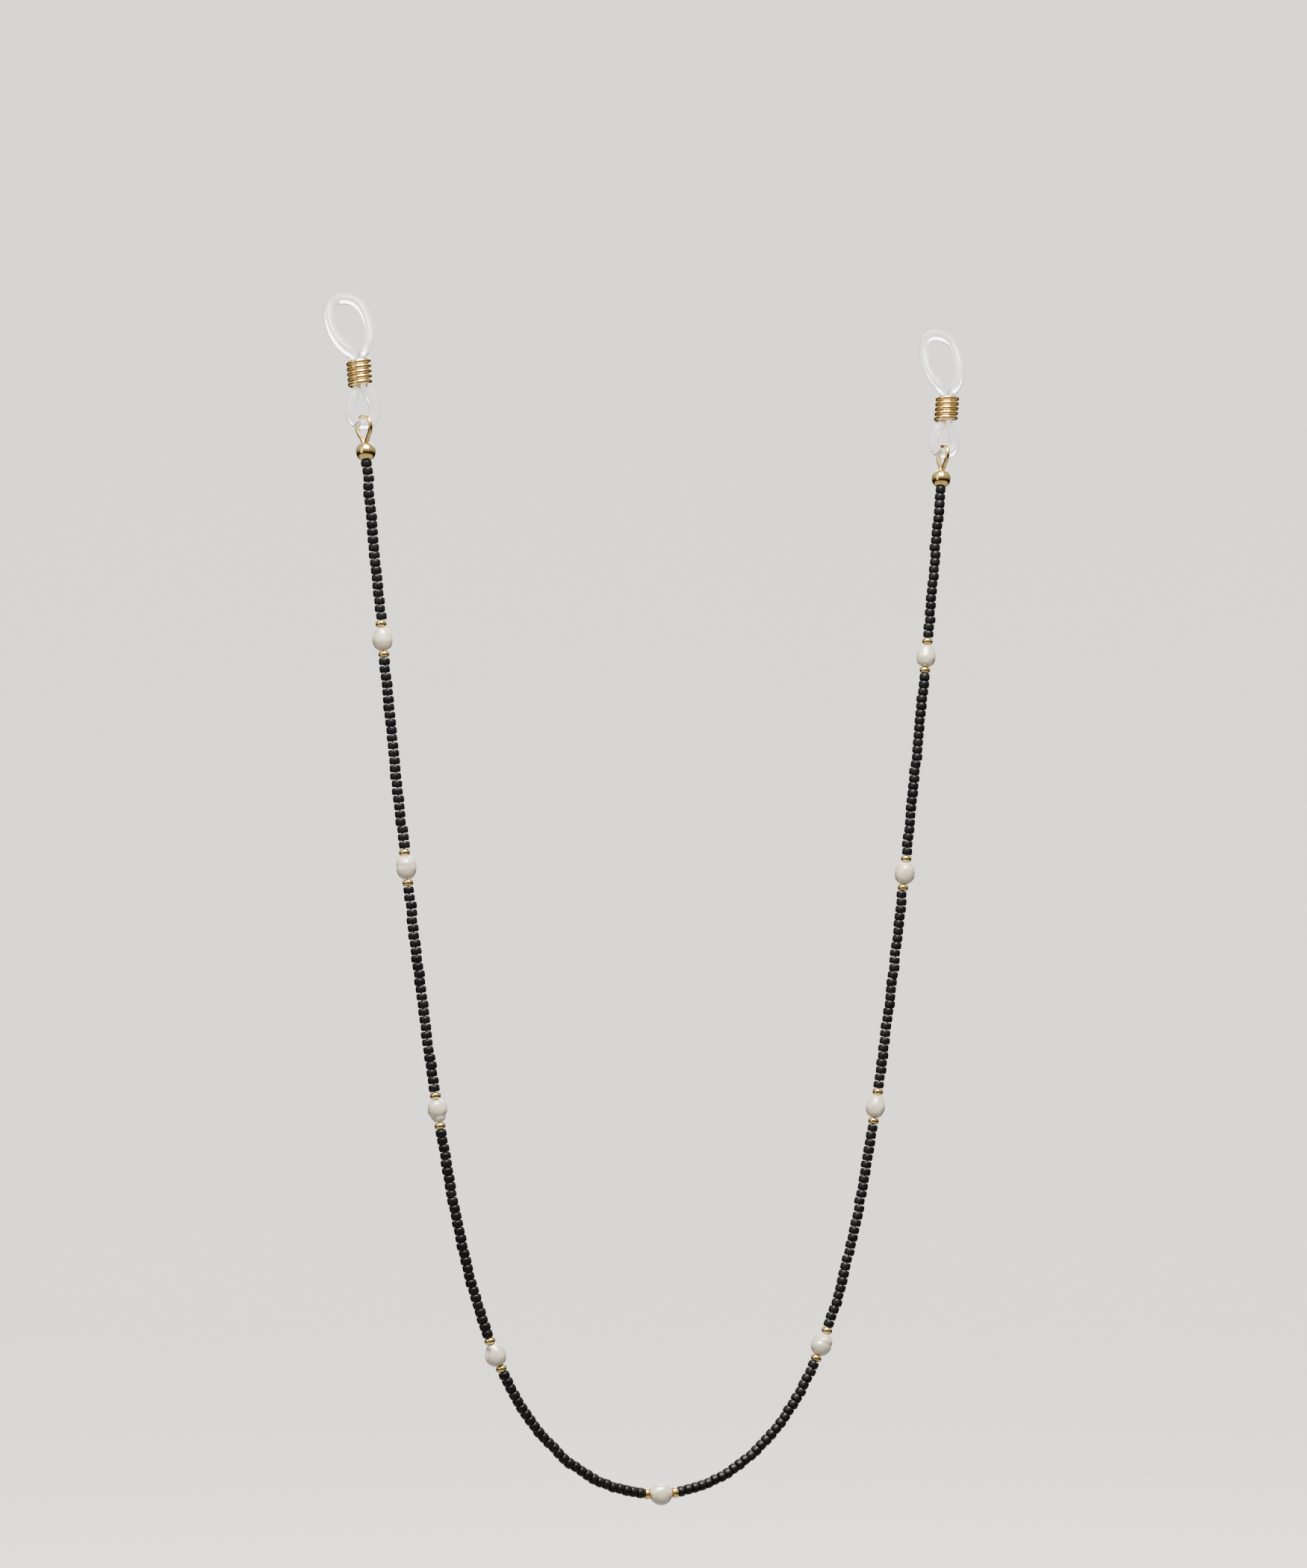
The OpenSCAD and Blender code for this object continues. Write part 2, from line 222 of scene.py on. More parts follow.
def tube(path, radii, sides, fixed, rim=0.0):
    """A round cord along a path, with a radius at each point and two flat ends.

    U runs round it and V along it. The direction fixed keeps its section from twisting, and a rim
    rounds the edges of its ends.
    """
    bm = bmesh.new()
    bm.loops.layers.uv.new("UVMap")
    last = len(path) - 1
    bmesh.ops.create_grid(bm, x_segments=sides, y_segments=last, size=1, calc_uvs=True)
    fixed = Vector(fixed)
    for vert in bm.verts:
        i = round((vert.co.y + 1) / 2 * last)
        turn = tau * round((vert.co.x + 1) / 2 * sides) / sides
        along = (path[min(last, i + 1)] - path[max(0, i - 1)]).normalized()
        across = along.cross(fixed).normalized()
        up = across.cross(along)
        vert.co = path[i] + radii[i] * (cos(turn) * across + sin(turn) * up)
    bmesh.ops.remove_doubles(bm, verts=bm.verts, dist=MERGE)
    open_edges = [edge for edge in bm.edges if edge.is_boundary]
    caps = bmesh.ops.holes_fill(bm, edges=open_edges, sides=0)["faces"]
    if rim:
        ends = [edge for face in caps for edge in face.edges]
        bmesh.ops.bevel(
            bm, geom=ends, offset=rim, segments=3, profile=0.5, affect="EDGES", material=-1,
        )
    bmesh.ops.recalc_face_normals(bm, faces=bm.faces)
    return bm


def turned(outline, steps, angle=tau, start=0.0):
    """A turned shape: a closed or open outline of (radius, height), spun about Z."""
    bm = bmesh.new()
    direction = Vector((cos(start), sin(start), 0))
    verts = [bm.verts.new(r * direction + Vector((0, 0, z))) for r, z in outline]
    edges = [bm.edges.new(pair) for pair in zip(verts, verts[1:])]
    whole = abs(angle - tau) < 1e-6
    bmesh.ops.spin(
        bm, geom=verts + edges, cent=(0, 0, 0), axis=(0, 0, 1), angle=angle,
        steps=steps, use_merge=whole,
    )
    bmesh.ops.remove_doubles(bm, verts=bm.verts, dist=MERGE)
    bmesh.ops.recalc_face_normals(bm, faces=bm.faces)
    return bm


def put(bm, matrix):
    """Moves a whole shape to its place."""
    bmesh.ops.transform(bm, matrix=matrix, verts=bm.verts)


# ---------------------------------------------------------------------------------------------
# Materials
# ---------------------------------------------------------------------------------------------


class Value:
    """A shader socket that takes part in Python sums and products."""

    def __init__(self, recipe, socket):
        self.recipe = recipe
        self.socket = socket

    def math(self, operation, *terms):
        return self.recipe.node("ShaderNodeMath", {"operation": operation}, *terms)

    def __add__(self, other):
        return self.math("ADD", self, other)

    def __mul__(self, other):
        return self.math("MULTIPLY", self, other)

    __radd__ = __add__
    __rmul__ = __mul__


class Recipe:
    """The nodes that feed the shader of a new material, or of the world."""

    def __init__(self, owner, shader="Principled BSDF"):
        owner.use_nodes = True
        self.owner = owner
        self.tree = owner.node_tree
        self.shader = self.tree.nodes[shader]

    def node(self, kind, settings, *values, out=0, **named):
        """Adds a node: its settings first, then the values or links of its sockets."""
        made = self.tree.nodes.new(kind)
        for key, value in settings.items():
            if key == "stops":
                self.set_stops(made.color_ramp, value)
            else:
                setattr(made, key, value)
        for key, value in list(enumerate(values)) + list(named.items()):
            socket = made.inputs[key if isinstance(key, int) else key.replace("_", " ")]
            self.feed(socket, value)
        return Value(self, made.outputs[out])

    def feed(self, socket, value):
        """Links a socket to a value from another node, or sets it to a plain one."""
        if isinstance(value, Value):
            self.tree.links.new(value.socket, socket)
        else:
            socket.default_value = value

    def set_stops(self, ramp, stops):
        """Gives a colour ramp its stops, each a position and a colour."""
        while len(ramp.elements) < len(stops):
            ramp.elements.new(0.5)
        for element, (position, colour) in zip(ramp.elements, stops):
            element.position = position
            element.color = (*colour, 1)

    def noise(self, scale, detail, roughness=0.5):
        """A mottle on the object's own coordinates, scale blotches to the metre."""
        place = self.node("ShaderNodeTexCoord", {}, out="Object")
        return self.node(
            "ShaderNodeTexNoise", {}, Vector=place, Scale=scale, Detail=detail, Roughness=roughness
        )

    def ramp(self, value, *stops):
        return self.node("ShaderNodeValToRGB", {"stops": stops}, value)

    def bump(self, height, strength, distance):
        return self.node(
            "ShaderNodeBump", {}, Strength=strength, Distance=distance, Height=height,
            out="Normal",
        )

    def dress(self, **inputs):
        """Feeds the shader's sockets, and gives back the finished material or world."""
        for key, value in inputs.items():
            self.feed(self.shader.inputs[key.replace("_", " ")], value)
        return self.owner


def black_glass():
    """Opaque black seed bead glass, cut from drawn tube and tumbled until it is satin smooth."""
    r = Recipe(bpy.data.materials.new("black_glass"))
    tumbling = r.noise(900, 3, 0.6)
    batch = r.noise(320, 1, 0.5)
    return r.dress(
        Base_Color=r.ramp(batch, (0.3, (0.0015, 0.0015, 0.0018)), (0.75, (0.005, 0.0047, 0.0044))),
        Roughness=tumbling * 0.2 + 0.26,
        Normal=r.bump(tumbling, 0.25, 0.00005),
        IOR=1.5,
        Specular_IOR_Level=0.2,
    )


def nacre():
    """Freshwater nacre: faint cream and silvery patches under a deep, soft lustre."""
    r = Recipe(bpy.data.materials.new("nacre"))
    patches = r.noise(230, 2, 0.55)
    growth = r.noise(1900, 3, 0.6)
    colour = r.ramp(
        patches,
        (0.28, (0.46, 0.375, 0.235)),
        (0.45, (0.52, 0.45, 0.315)),
        (0.60, (0.45, 0.41, 0.315)),
        (0.75, (0.57, 0.51, 0.385)),
    )
    return r.dress(
        Base_Color=colour,
        Roughness=growth * 0.12 + 0.24,
        Normal=r.bump(patches + 0.06 * growth, 0.22, 0.00015),
        Specular_IOR_Level=0.9,
        Subsurface_Weight=0.2,
        Subsurface_Scale=0.0009,
        Subsurface_Radius=(1.0, 0.85, 0.65),
        Coat_Weight=1.0,
        Coat_Roughness=0.16,
        Coat_IOR=1.65,
        IOR=1.62,
    )


def gold_plate(name, wear, grain):
    """Pale gold plate over brass, with fine polishing marks and a little dulling."""
    r = Recipe(bpy.data.materials.new(name))
    dulling = r.noise(700, 3, 0.6)
    marks = r.noise(grain, 2, 0.5)
    return r.dress(
        Base_Color=r.ramp(
            dulling, (0.25, (0.62, 0.39, 0.11)), (0.55, (0.84, 0.58, 0.20)), (0.8, (0.92, 0.69, 0.31))
        ),
        Metallic=1.0,
        Roughness=marks * wear + 0.08,
        Normal=r.bump(marks, 0.12, 0.00003),
    )


def milky_silicone():
    """Clear silicone cord with a milky body and a faintly tacky, dusty surface."""
    r = Recipe(bpy.data.materials.new("milky_silicone"))
    dust = r.noise(1500, 3, 0.6)
    clouds = r.noise(260, 2, 0.5)
    return r.dress(
        Base_Color=r.ramp(clouds, (0.3, (0.84, 0.85, 0.87)), (0.7, (0.93, 0.93, 0.93))),
        Roughness=dust * 0.16 + 0.06,
        Normal=r.bump(dust, 0.1, 0.00004),
        IOR=1.41,
        Transmission_Weight=0.88,
        Subsurface_Weight=0.3,
        Subsurface_Scale=0.002,
        Subsurface_Radius=(1.0, 1.0, 1.0),
    )


def stranded_wire():
    """Nylon-coated beading wire whose strands twist round it."""
    r = Recipe(bpy.data.materials.new("stranded_wire"))
    around = r.node("ShaderNodeUVMap", {"uv_map": "UVMap"})
    twist = r.node(
        "ShaderNodeTexWave", {"wave_type": "BANDS", "bands_direction": "DIAGONAL"},
        Vector=around, Scale=9.0, Distortion=0.2,
    )
    return r.dress(
        Base_Color=r.ramp(twist, (0.2, (0.28, 0.27, 0.25)), (0.8, (0.62, 0.61, 0.58))),
        Metallic=0.9,
        Roughness=twist * 0.2 + 0.3,
        Normal=r.bump(twist, 0.4, 0.00004),
    )


def studio_grey():
    """The matt pale sheet that is the floor and the background, lit a little from within."""
    r = Recipe(bpy.data.materials.new("studio_grey"))
    return r.dress(
        Base_Color=r.ramp(r.noise(3, 1), (0.3, (0.27, 0.267, 0.258)), (0.7, (0.28, 0.277, 0.268))),
        Roughness=0.9,
        Emission_Color=(1.0, 0.98, 0.88, 1),
        Emission_Strength=1.56,
    )


GLASS = black_glass()
NACRE = nacre()
GOLD = gold_plate("gold_fittings", 0.16, 4000)
SPACER_GOLD = gold_plate("gold_spacers", 0.22, 5000)
COIL_GOLD = gold_plate("gold_coil", 0.2, 3500)
SILICONE = milky_silicone()
STEEL = stranded_wire()
SHEET = studio_grey()

# ---------------------------------------------------------------------------------------------
# Seed beads
# ---------------------------------------------------------------------------------------------

# Half of the bead's section, from the hole to the middle of its side, before smoothing rounds it.
BEAD_SECTION = [(0.44, 0.52), (0.72, 0.72), (1.06, 0.66), (1.16, 0.28)]
BEAD_STEPS = 8
# How unlike the beads are: their tilt and shift on the wire, then their width and length as shares
# of the plain bead's.
BEAD_TILT = radians(3.5)
BEAD_SHIFT = 0.13
BEAD_WIDE = (0.955, 1.03)
BEAD_LONG = (0.93, 1.0)


def plain_bead():
    """One seed bead before it is sized and tilted."""
    half = BEAD_SECTION
    outline = half + [(r, -z) for r, z in reversed(half)] + half[:1]
    return turned(outline, BEAD_STEPS)


def seed_run(i, name, base, draw):
    """One run of seed beads, each a little different in size, tilt and place on the wire."""
    side = SIDES[name]
    bm = bmesh.new()
    drift = Vector((draw.uniform(0, 50), draw.uniform(0, 50), 0))
    for k in range(RUNS[i - 1]):
        s = run_top(i) - (k + 0.5) * BEAD_PITCH
        bm.from_mesh(base)
        fresh = bm.verts[-len(base.vertices):]
        lean = Matrix.Rotation(draw.gauss(0, 0.5) * BEAD_TILT, 4, "X")
        roll = Matrix.Rotation(draw.gauss(0, 0.5) * BEAD_TILT, 4, "Y")
        turn = Matrix.Rotation(draw.uniform(0, tau), 4, "Z")
        wide = draw.uniform(*BEAD_WIDE)
        size = Matrix.Diagonal((wide, wide, draw.uniform(*BEAD_LONG), 1))
        wander = noise.noise_vector(drift + Vector((0, 0, 0.37 * k)))
        off_x = BEAD_SHIFT * (wander.x + draw.gauss(0, 0.45))
        off_y = BEAD_SHIFT * (wander.y + draw.gauss(0, 0.45))
        shift = Matrix.Translation((off_x, off_y, 0))
        place = strung(s, side) @ shift @ lean @ roll @ size @ turn
        bmesh.ops.transform(bm, matrix=place, verts=fresh)
    body = f"strand_{i}"
    node = f"bead_run_{name}_{i}"
    return finish_piece(bm, f"seed_beads_{name}_{i}", body, GLASS, [node], 1)


def all_seed_runs():
    """Ten runs of seed beads, five on each half of the strand."""
    bm = plain_bead()
    base = bpy.data.meshes.new("plain_bead")
    bm.to_mesh(base)
    bm.free()
    draw = random.Random(11)
    noise.seed_set(11)
    for i in range(1, 6):
        for name in SIDES:
            seed_run(i, name, base, draw)
    bpy.data.meshes.remove(base)


# ---------------------------------------------------------------------------------------------
# Spacers
# ---------------------------------------------------------------------------------------------


def spacer(s, side, piece_name, node, body, draw):
    """A small gold rondelle with rolled edges."""
    half = SPACER_L / 2
    r = SPACER_D / 2
    top = [
        (r + 0.02, 0.14), (r - 0.09, half - 0.16), (r - 0.3, half), (BORE_R + 0.12, half - 0.01),
        (BORE_R, half - 0.1),
    ]
    bottom = [(x, -z) for x, z in reversed(top)]
    bm = turned(bottom + top + bottom[:1], 16)
    tip = Matrix.Rotation(draw.gauss(0, radians(1.5)), 4, "X")
    put(bm, strung(s, side) @ tip)
    return finish_piece(bm, piece_name, body, SPACER_GOLD, [node], 1)


def all_spacers():
    """A spacer on each side of every pearl."""
    draw = random.Random(5)
    for name, side in SIDES.items():
        for i in range(1, 6):
            above = pearl_at(i) + PEARL_STEP / 2 - PLAY - SPACER_L / 2
            label = f"{name}_{i}"
            spacer(
                above, side, f"spacer_bead_above_{label}", f"spacer_above_{label}",
                f"strand_{i}", draw,
            )
            if i < 5:
                below = pearl_at(i) - PEARL_STEP / 2 + PLAY + SPACER_L / 2
                spacer(
                    below, side, f"spacer_bead_below_{label}", f"spacer_below_{label}",
                    f"strand_{i + 1}", draw,
                )


# ---------------------------------------------------------------------------------------------
# Pearls
# ---------------------------------------------------------------------------------------------

# Shape of each pearl: taper towards its upper end, roundness in section, then its dents as
# (turn in degrees, height from -1 to 1, depth in mm, spread), and its grooves as
# (height, depth in mm, width, turn in degrees, reach round the pearl from 0 to 1).
PEARLS = {
    ("left", 1): (-0.08, 0.97, [(180, 0.5, 0.12, 0.5)], [(-0.55, 0.06, 0.2, 250, 0.6)]),
    ("left", 2): (0.02, 0.98, [(120, -0.5, 0.15, 0.5)], [(0.12, 0.14, 0.12, 245, 0.7)]),
    ("left", 3): (0.10, 0.93, [(200, -0.75, 0.35, 0.4)], [(-0.40, 0.42, 0.11, 262, 0.75)]),
    ("left", 4): (-0.10, 0.92, [(195, 0.55, 0.75, 0.45), (60, 0.0, 0.2, 0.6)], []),
    ("right", 4): (0.0, 0.94, [(205, 0.75, 0.5, 0.45)], [(0.12, 0.32, 0.11, 262, 0.75)]),
    ("right", 3): (-0.14, 0.96, [(330, -0.45, 0.2, 0.4)], [(0.3, 0.08, 0.15, 240, 0.6)]),
    ("right", 2): (0.03, 0.99, [(90, 0.3, 0.1, 0.6)], []),
    ("right", 1): (-0.13, 0.95, [(300, 0.5, 0.12, 0.5)], [(-0.5, 0.07, 0.16, 240, 0.8)]),
    ("middle", 5): (0.04, 0.95, [(0, 0.1, -0.25, 0.9), (180, 0.5, 0.2, 0.5)], []),
}
PEARL_LUMPS = 0.144
# A pearl's outline is an arc up to this many degrees, then a flat face round the drilled hole.
PEARL_ARC = 74
PEARL_FACE_R = 0.62


def eased(u):
    """A smooth step from 0 to 1."""
    v = max(0.0, min(1.0, u))
    return v * v * (3 - 2 * v)


def pearl(i, name):
    """One freshwater pearl, its own lumpy shape, drilled from end to end."""
    taper, roundness, dents, grooves = PEARLS[(name, i)]
    side = SIDES.get(name, 1)
    half = PEARL_L / 2
    radius = PEARL_D[i - 1] / 2
    hole = [(BORE_R, half - 0.5), (BORE_R + 0.02, half - 0.04)]
    outline = [(x, -z) for x, z in hole]
    for angle in range(-PEARL_ARC, PEARL_ARC + 1, 12):
        wide = 1.02 * radius * cos(radians(angle)) ** 0.92
        rise = half * sin(radians(angle)) / sin(radians(PEARL_ARC))
        outline.append((max(PEARL_FACE_R, wide), rise))
    bm = turned(outline + hole[::-1], 24)
    seed = Vector((7.3 * i, 11.9 * side, 3.1))
    for vert in bm.verts:
        out = Vector((vert.co.x, vert.co.y, 0))
        if out.length < BORE_R + 0.1:
            continue
        high = vert.co.z / half
        turn = atan2(out.y, out.x)
        reach = out.length
        lump = noise.noise(0.55 * vert.co + seed) + 0.4 * noise.noise(1.4 * vert.co + seed)
        shape = eased((1 - abs(high)) * 3)
        reach += shape * (PEARL_LUMPS * lump + taper * high * radius)
        for dent_turn, dent_high, depth, spread in dents:
            away = cos(turn - radians(dent_turn))
            gap = sqrt(max(0, 1 - away)) + abs(high - dent_high)
            reach -= shape * depth * exp(-((gap / spread) ** 2))
        for groove_high, depth, width, groove_turn, arc in grooves:
            round_it = eased(0.5 * cos(turn - radians(groove_turn)) + arc)
            reach -= shape * depth * round_it * exp(-(((high - groove_high) / width) ** 2))
        out = out.normalized() * reach
        vert.co = Vector((out.x, out.y * roundness, vert.co.z))
    put(bm, strung(pearl_at(i), side))
    node = "pearl_middle" if i == 5 else f"pearl_{name}_{i}"
    piece_name = f"nacre_{node}"
    body = "strand_5" if i == 5 else f"strand_{i + 1}"
    return finish_piece(bm, piece_name, body, NACRE, [node], 2)


# ---------------------------------------------------------------------------------------------
# End fittings
# ---------------------------------------------------------------------------------------------

# Past the coil the pinched silicone swells back to its full thickness over this length.
THROAT_SWELL = 1.6


def silicone_points(name):
    """Half of a silicone loop's middle line from its lowest point up, and its coil's two heights."""
    length = coil_length(name)
    low = COIL_HEIGHT[name] - length / 2
    high = COIL_HEIGHT[name] + length / 2
    top = LOOP_H - high
    half = [
        (0, 0),
        (0.68 * LOWER_W / 2, 0.07 * low),
        (LOWER_W / 2, 0.3 * low),
        (0.88 * LOWER_W / 2, 0.58 * low),
        (0.6 * LOWER_W / 2, 0.8 * low),
        (THROAT / 2, low),
        (THROAT / 2, COIL_HEIGHT[name]),
        (THROAT / 2, high),
        (0.46 * UPPER_W / 2, high + 0.12 * top),
        (0.86 * UPPER_W / 2, high + 0.32 * top),
        (UPPER_W / 2, high + 0.58 * top),
        (0.86 * UPPER_W / 2, high + 0.84 * top),
        (0.48 * UPPER_W / 2, high + 0.965 * top),
        (0, high + top),
    ]
    return half, low, high


def silicone_piece(name, upper):
    """The upper or the lower part of a silicone loop, from inside the sleeve round to itself."""
    side = SIDES[name]
    half, low, high = silicone_points(name)
    throat = half.index((THROAT / 2, COIL_HEIGHT[name]))
    if upper:
        kept = half[throat:]
        flat = [(-x, z) for x, z in kept] + [(x, z) for x, z in reversed(kept[:-1])]
    else:
        kept = half[: throat + 1]
        flat = [(-x, z) for x, z in reversed(kept)] + kept[1:]
    path = smooth_path([(x, 0, z) for x, z in flat], 7)
    radii = []
    for p in path:
        beyond = (abs(p.z - COIL_HEIGHT[name]) - coil_length(name) / 2) / THROAT_SWELL
        radii.append(THROAT_R + (CORD_D / 2 - THROAT_R) * eased(beyond))
        up = max(0.0, p.z - high)
        p.y = up * sin(LOOP_LEAN)
        p.z = min(p.z, high) + up * cos(LOOP_LEAN) + BEND_Z
    bm = tube(path, radii, 20, (0, 1, 0))
    put(bm, at_end(side))
    part = "upper" if upper else "lower"
    piece = finish_piece(
        bm, f"silicone_{part}_{name}", None, SILICONE,
        [f"silicone_loop_{name}"], 1,
    )
    far = path[len(path) // 2]
    near = Vector((0, 0, BEND_Z + (high if upper else low)))
    to_object = TO_METRES @ at_end(side)
    start = to_object @ (far.lerp(near, 0.15))
    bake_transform(piece)
    return piece


# The coil's wire starts at the back, and hand winding leaves its turns a little out of round.
COIL_START = radians(60)
COIL_SWAY = 0.03
# Smoothing draws the wire in a little, so it is made this much fuller.
COIL_FULLER = 0.01


def coil_sleeve(name):
    """A close coil of round gold wire whose two ends are snipped."""
    side = SIDES[name]
    turns = COIL_TURNS[name]
    per_turn = 28
    middle_r = (COIL_D - COIL_WIRE) / 2
    path = []
    for k in range(int(turns * per_turn) + 1):
        turn = tau * k / per_turn + COIL_START
        rise = COIL_PITCH * (k / per_turn - turns / 2)
        sway = COIL_SWAY * sin(3.1 * turn + side)
        path.append(Vector(((middle_r + sway) * cos(turn), (middle_r - sway) * sin(turn), rise)))
    bm = tube(path, [COIL_WIRE / 2 + COIL_FULLER] * len(path), 12, (0, 0, 1), rim=0.08)
    put(bm, at_end(side) @ Matrix.Translation((0, 0, BEND_Z + COIL_HEIGHT[name])))
    return finish_piece(
        bm, f"gold_coil_{name}", f"sleeve_{name}", COIL_GOLD,
        [f"coil_sleeve_{name}"], 1,
    )


# How much the drawn tube is fuller than its CAD solid, on its outer side.
GUARD_ROUNDING = 0.05


def guard_points(name, per, out=0.0):
    """The middle line of one wire loop, from one foot round to the other, moved out a little."""
    side = SIDES[name]
    half_w = (GUARD_W - GUARD_D) / 2 + out
    foot_x = GUARD_D / 2 + 0.02
    half = [
        (foot_x, CRIMP_L / 2 + PLAY),
        (foot_x, 1.65),
        (0.9, 2.5),
        (0.84 * half_w, 3.55),
        (half_w, 4.7),
        (0.76 * half_w, 5.85),
        (0, GUARD_H - GUARD_D / 2 + out),
    ]
    flat = half + [(-x, z) for x, z in reversed(half[:-1])]
    turn = GUARD_TURN[name]
    points = [(side * x * sin(turn), x * cos(turn), z) for x, z in flat]
    return smooth_path(points, per)


def guard_side(name):
    """Direction square to the plane of one wire loop."""
    turn = GUARD_TURN[name]
    return (SIDES[name] * cos(turn), -sin(turn), 0)


def wire_loop(name):
    """The gold tube that guards the beading wire where it turns round the silicone."""
    path = guard_points(name, 8, GUARD_ROUNDING)
    bm = tube(path, [GUARD_D / 2 + GUARD_ROUNDING] * len(path), 14, guard_side(name), rim=0.05)
    put(bm, at_end(SIDES[name]))
    return finish_piece(
        bm, f"gold_wire_loop_{name}", "strand_1", GOLD,
        [f"wire_loop_{name}"], 1,
    )


# The crimp cover's shell, the opening at its top for the wire loop, and the gap between its lips.
COVER_SHELL = 0.3
COVER_MOUTH_R = 0.95
COVER_LIP_GAP = radians(5)


def crimp_cover(name):
    """A round cover, squeezed shut over the crimp so that its two lips almost meet behind."""
    r = COVER_D / 2
    flat_r = sqrt(r * r - COVER_LOW * COVER_LOW)
    outline = [(0.5, -COVER_LOW), (0.75 * flat_r, -COVER_LOW), (flat_r, -COVER_LOW + 0.02)]
    start = atan2(-COVER_LOW + 0.12, flat_r + 0.06)
    stop = atan2(sqrt(r * r - COVER_MOUTH_R * COVER_MOUTH_R), COVER_MOUTH_R)
    steps = 12
    for k in range(1, steps + 1):
        angle = start + (stop - start) * k / steps
        outline.append((r * cos(angle), r * sin(angle)))
    bm = turned(outline, 36, tau - COVER_LIP_GAP, pi / 2 + COVER_LIP_GAP / 2)
    bmesh.ops.solidify(bm, geom=bm.faces[:], thickness=COVER_SHELL)
    rims = [edge for edge in bm.edges if edge.calc_face_angle(0) > radians(60)]
    bmesh.ops.bevel(
        bm, geom=rims, offset=0.05, segments=2, profile=0.5, affect="EDGES", material=-1,
    )
    bmesh.ops.recalc_face_normals(bm, faces=bm.faces)
    put(bm, at_end(SIDES[name]))
    return finish_piece(
        bm, f"gold_crimp_cover_{name}", "strand_1", GOLD,
        [f"crimp_cover_{name}"],
    )


# ---------------------------------------------------------------------------------------------
# Beading wire
# ---------------------------------------------------------------------------------------------

WIRE_STEP = 1.4


def wire_route(low, high, side):
    """Points on the strand between two lengths, about one to each bead, in millimetres."""
    count = ceil((high - low) / WIRE_STEP)
    spots = [on_course(low + (high - low) * k / count) for k in range(count + 1)]
    return [Vector((side * p.x, 0, p.z - TEMPLE_Z)) for p in spots]


def strung_wire(path, fixed, label, body):
    """One length of beading wire."""
    length = sum((b - a).length for a, b in zip(path, path[1:])) * MM
    bm = tube(path, [WIRE_D / 2] * len(path), 8, fixed)
    piece = finish_piece(
        bm, f"wire_{label}", body, STEEL, [f"beading_wire_{label}"]
    )
    points = [tuple(p * MM) for p in path]
    return piece


def end_wire(name):
    """Wire through the first run, up through the crimp, round the wire loop and back."""
    side = SIDES[name]
    turn = GUARD_TURN[name]
    low = pearl_at(1) + PEARL_L / 2 + 3 * PLAY
    x = CRIMP_BORE / 2 - WIRE_D / 2 - 0.03

    def beside(across, z):
        return Vector((side * across * sin(turn), across * cos(turn), z))

    rise = [
        beside(0, -COVER_LOW - 0.1),
        beside(0.6 * x, -CRIMP_L / 2 - 0.2),
        beside(x, -CRIMP_L / 2),
        beside(x, 0),
    ]
    tail = [beside(-x, 0), beside(-x, -CRIMP_L / 2 - 0.1)]
    place = at_end(side)
    path = wire_route(low, STRAND_HALF - BEAD_L / 2, side)
    path += [place @ p for p in rise + guard_points(name, 4) + tail]
    fixed = place.to_3x3() @ Vector(guard_side(name))
    strung_wire(path, fixed, f"{name}_1", "strand_1")


def all_wires():
    """The wire in its nine lengths, each ending inside a pearl."""
    for name, side in SIDES.items():
        end_wire(name)
        for i in range(2, 5):
            low = pearl_at(i) + PEARL_L / 2 + 3 * PLAY
            high = pearl_at(i - 1) + PEARL_L / 2
            strung_wire(wire_route(low, high, side), (0, 1, 0), f"{name}_{i}", f"strand_{i}")
    high = pearl_at(4) + PEARL_L / 2
    left = wire_route(STEP, high, -1)
    path = left[::-1] + wire_route(STEP, high, 1)
    strung_wire(path, (0, 1, 0), "bottom", "strand_5")


# ---------------------------------------------------------------------------------------------
# Camera, light and floor
# ---------------------------------------------------------------------------------------------


def look_along(thing, direction):
    """Turns a camera or light to look in a direction."""
    thing.rotation_euler = direction.to_track_quat("-Z", "Y").to_euler()


def add_camera():
    """A long lens to the left of the strap and level with its middle, tipped slightly up."""
    yaw = radians(22)
    tip = radians(2.668)
    data = bpy.data.cameras.new("camera")
    data.lens = 104.5
    data.sensor_width = 36
    data.clip_start = 0.01
    camera = bpy.data.objects.new("camera", data)
    camera.location = (-0.32117, -0.79123, -0.12355)
    forward = Vector((sin(yaw) * cos(tip), cos(yaw) * cos(tip), sin(tip)))
    look_along(camera, forward)
    bpy.context.scene.collection.objects.link(camera)
    bpy.context.scene.camera = camera


def soft_light(name, place, target, size, power, colour=(1, 1, 1)):
    """A softbox at a place in metres, aimed at the target."""
    data = bpy.data.lights.new(name, "AREA")
    data.shape = "RECTANGLE"
    data.size, data.size_y = size
    data.energy = power
    data.color = colour
    light = bpy.data.objects.new(name, data)
    light.location = place
    look_along(light, Vector(target) - light.location)
    bpy.context.scene.collection.objects.link(light)


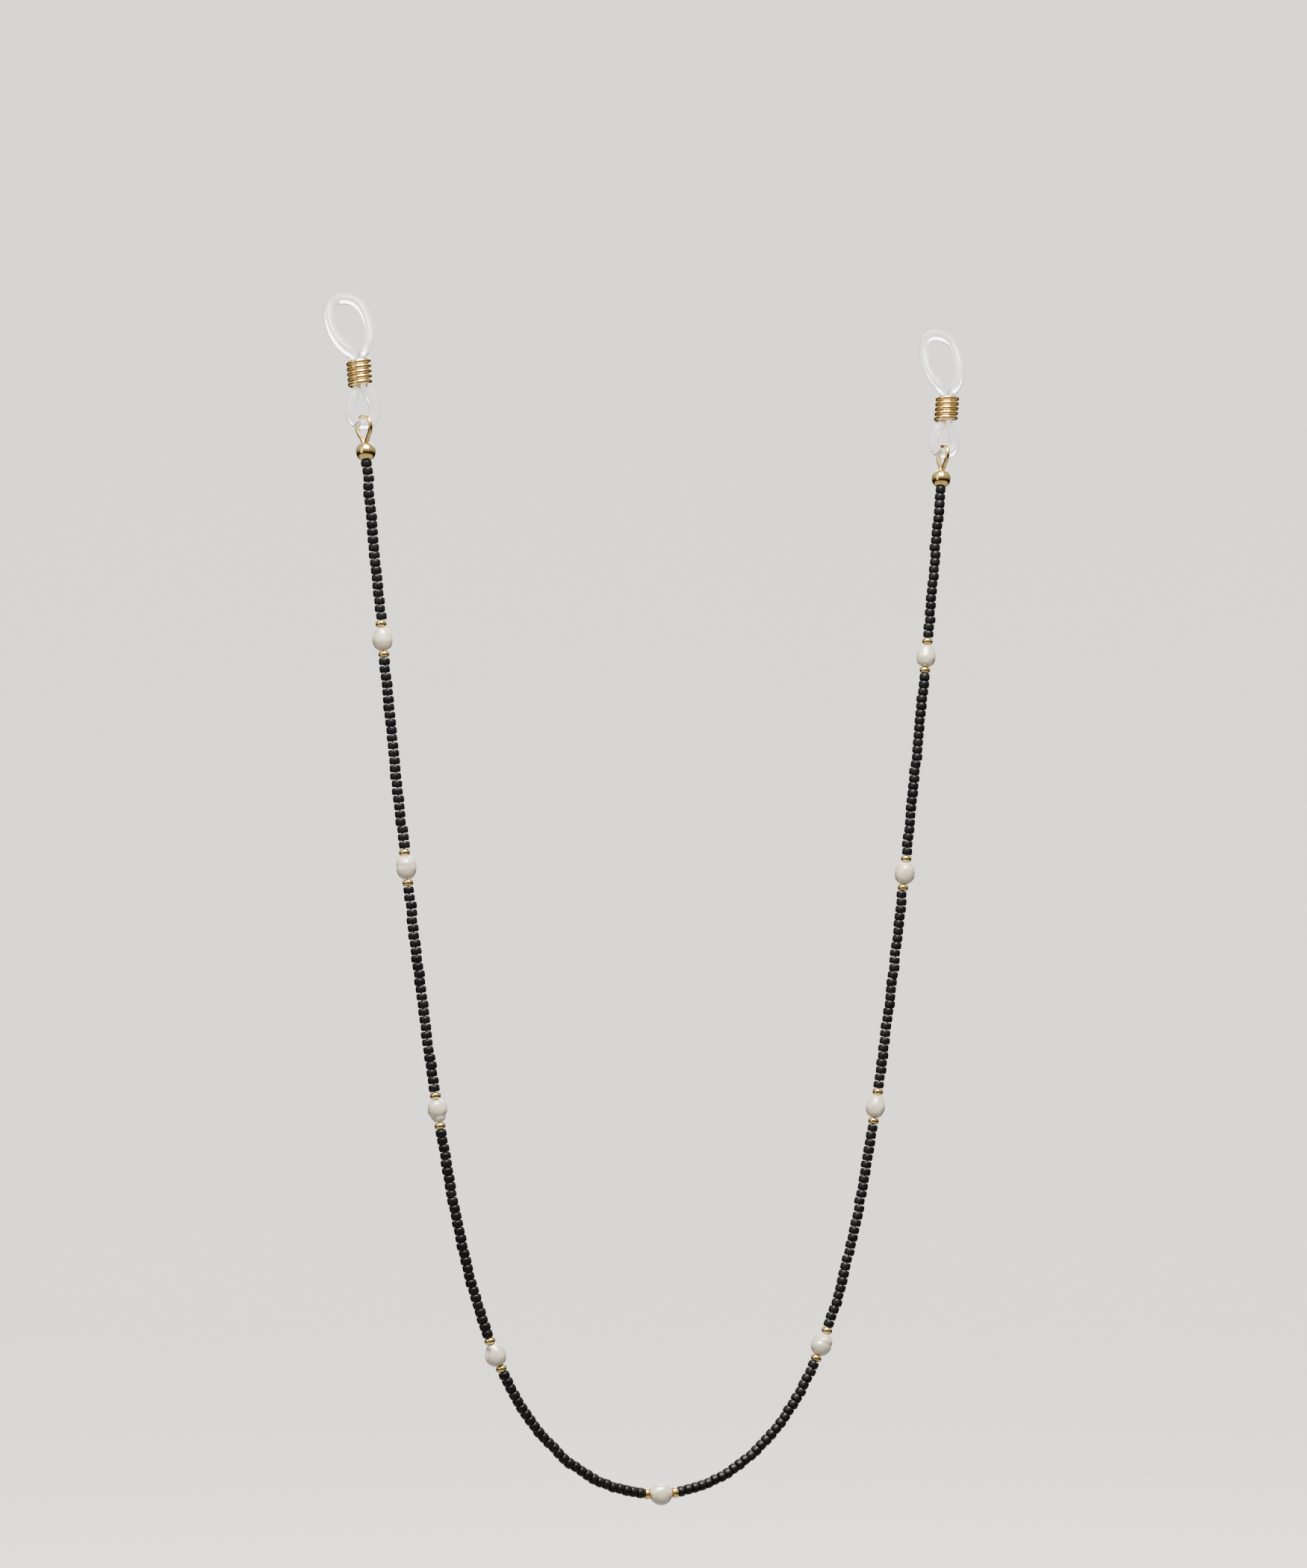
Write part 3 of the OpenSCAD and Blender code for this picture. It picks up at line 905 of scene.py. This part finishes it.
def studio_world():
    """Light that fills the studio: a bright ceiling and floor with a dim band between them.

    Metal, glass and nacre mirror it, and the band gives them their dark stripe.
    """
    r = Recipe(bpy.data.worlds.new("studio_room"), "Background")
    direction = r.node("ShaderNodeTexCoord", {}, out="Generated")
    rise = r.node("ShaderNodeSeparateXYZ", {}, direction, out="Z")
    bands = r.ramp(
        0.5 * rise + 0.5,
        (0.0, (0.85, 0.83, 0.78)),
        (0.22, (0.85, 0.83, 0.78)),
        (0.31, (0.012, 0.009, 0.006)),
        (0.46, (0.012, 0.009, 0.006)),
        (0.54, (0.38, 0.37, 0.35)),
        (0.80, (1.0, 0.99, 0.97)),
        (1.0, (1.0, 0.99, 0.97)),
    )
    bpy.context.scene.world = r.dress(Color=bands, Strength=0.85)


def add_lights():
    """A large softbox above, a tall one on the left, one behind, and the room's own light."""
    middle = (0, 0, -0.11)
    soft_light("top_softbox", (-0.12, -0.34, 0.46), middle, (0.5, 0.38), 26.0, (1.0, 0.985, 0.96))
    soft_light("left_softbox", (-0.75, -0.25, 0.15), middle, (0.25, 0.8), 2.0)
    soft_light("back_softbox", (0.3, 0.6, 0.4), middle, (0.5, 0.4), 6.0)
    studio_world()


def add_sheet():
    """A round cove of matt sheet: a level floor that sweeps up into a wall on every side.

    Only the camera sees it, so it doesn't wash out the reflections in the gold and the pearls.
    """
    floor_z = -0.30
    radius = 2.4
    bend = 0.8
    height = 2.4
    outline = [(0, floor_z), (radius - bend, floor_z)]
    steps = 12
    for k in range(1, steps + 1):
        turn = pi / 2 * k / steps
        outline.append((radius - bend + bend * sin(turn), floor_z + bend * (1 - cos(turn))))
    outline.append((radius, height))
    bm = turned(outline, 48)
    bmesh.ops.reverse_faces(bm, faces=bm.faces)
    for face in bm.faces:
        face.smooth = True
    mesh = bpy.data.meshes.new("studio_sheet")
    bm.to_mesh(mesh)
    bm.free()
    mesh.materials.append(SHEET)
    sheet = bpy.data.objects.new("studio_sheet", mesh)
    sheet.visible_glossy = False
    sheet.visible_diffuse = False
    sheet.visible_shadow = False
    bpy.context.scene.collection.objects.link(sheet)


# ---------------------------------------------------------------------------------------------
# Making
# ---------------------------------------------------------------------------------------------

add_camera()
all_wires()
all_seed_runs()
all_spacers()
for i in range(1, 5):
    for name in SIDES:
        pearl(i, name)
pearl(5, "middle")
for name in SIDES:
    silicone_piece(name, upper=False)
    silicone_piece(name, upper=True)
    coil_sleeve(name)
    wire_loop(name)
    crimp_cover(name)
    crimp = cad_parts[f"crimp_tube_{name}"]
    crimp.data.materials.clear()
    crimp.data.materials.append(GOLD)
add_sheet()
add_lights()
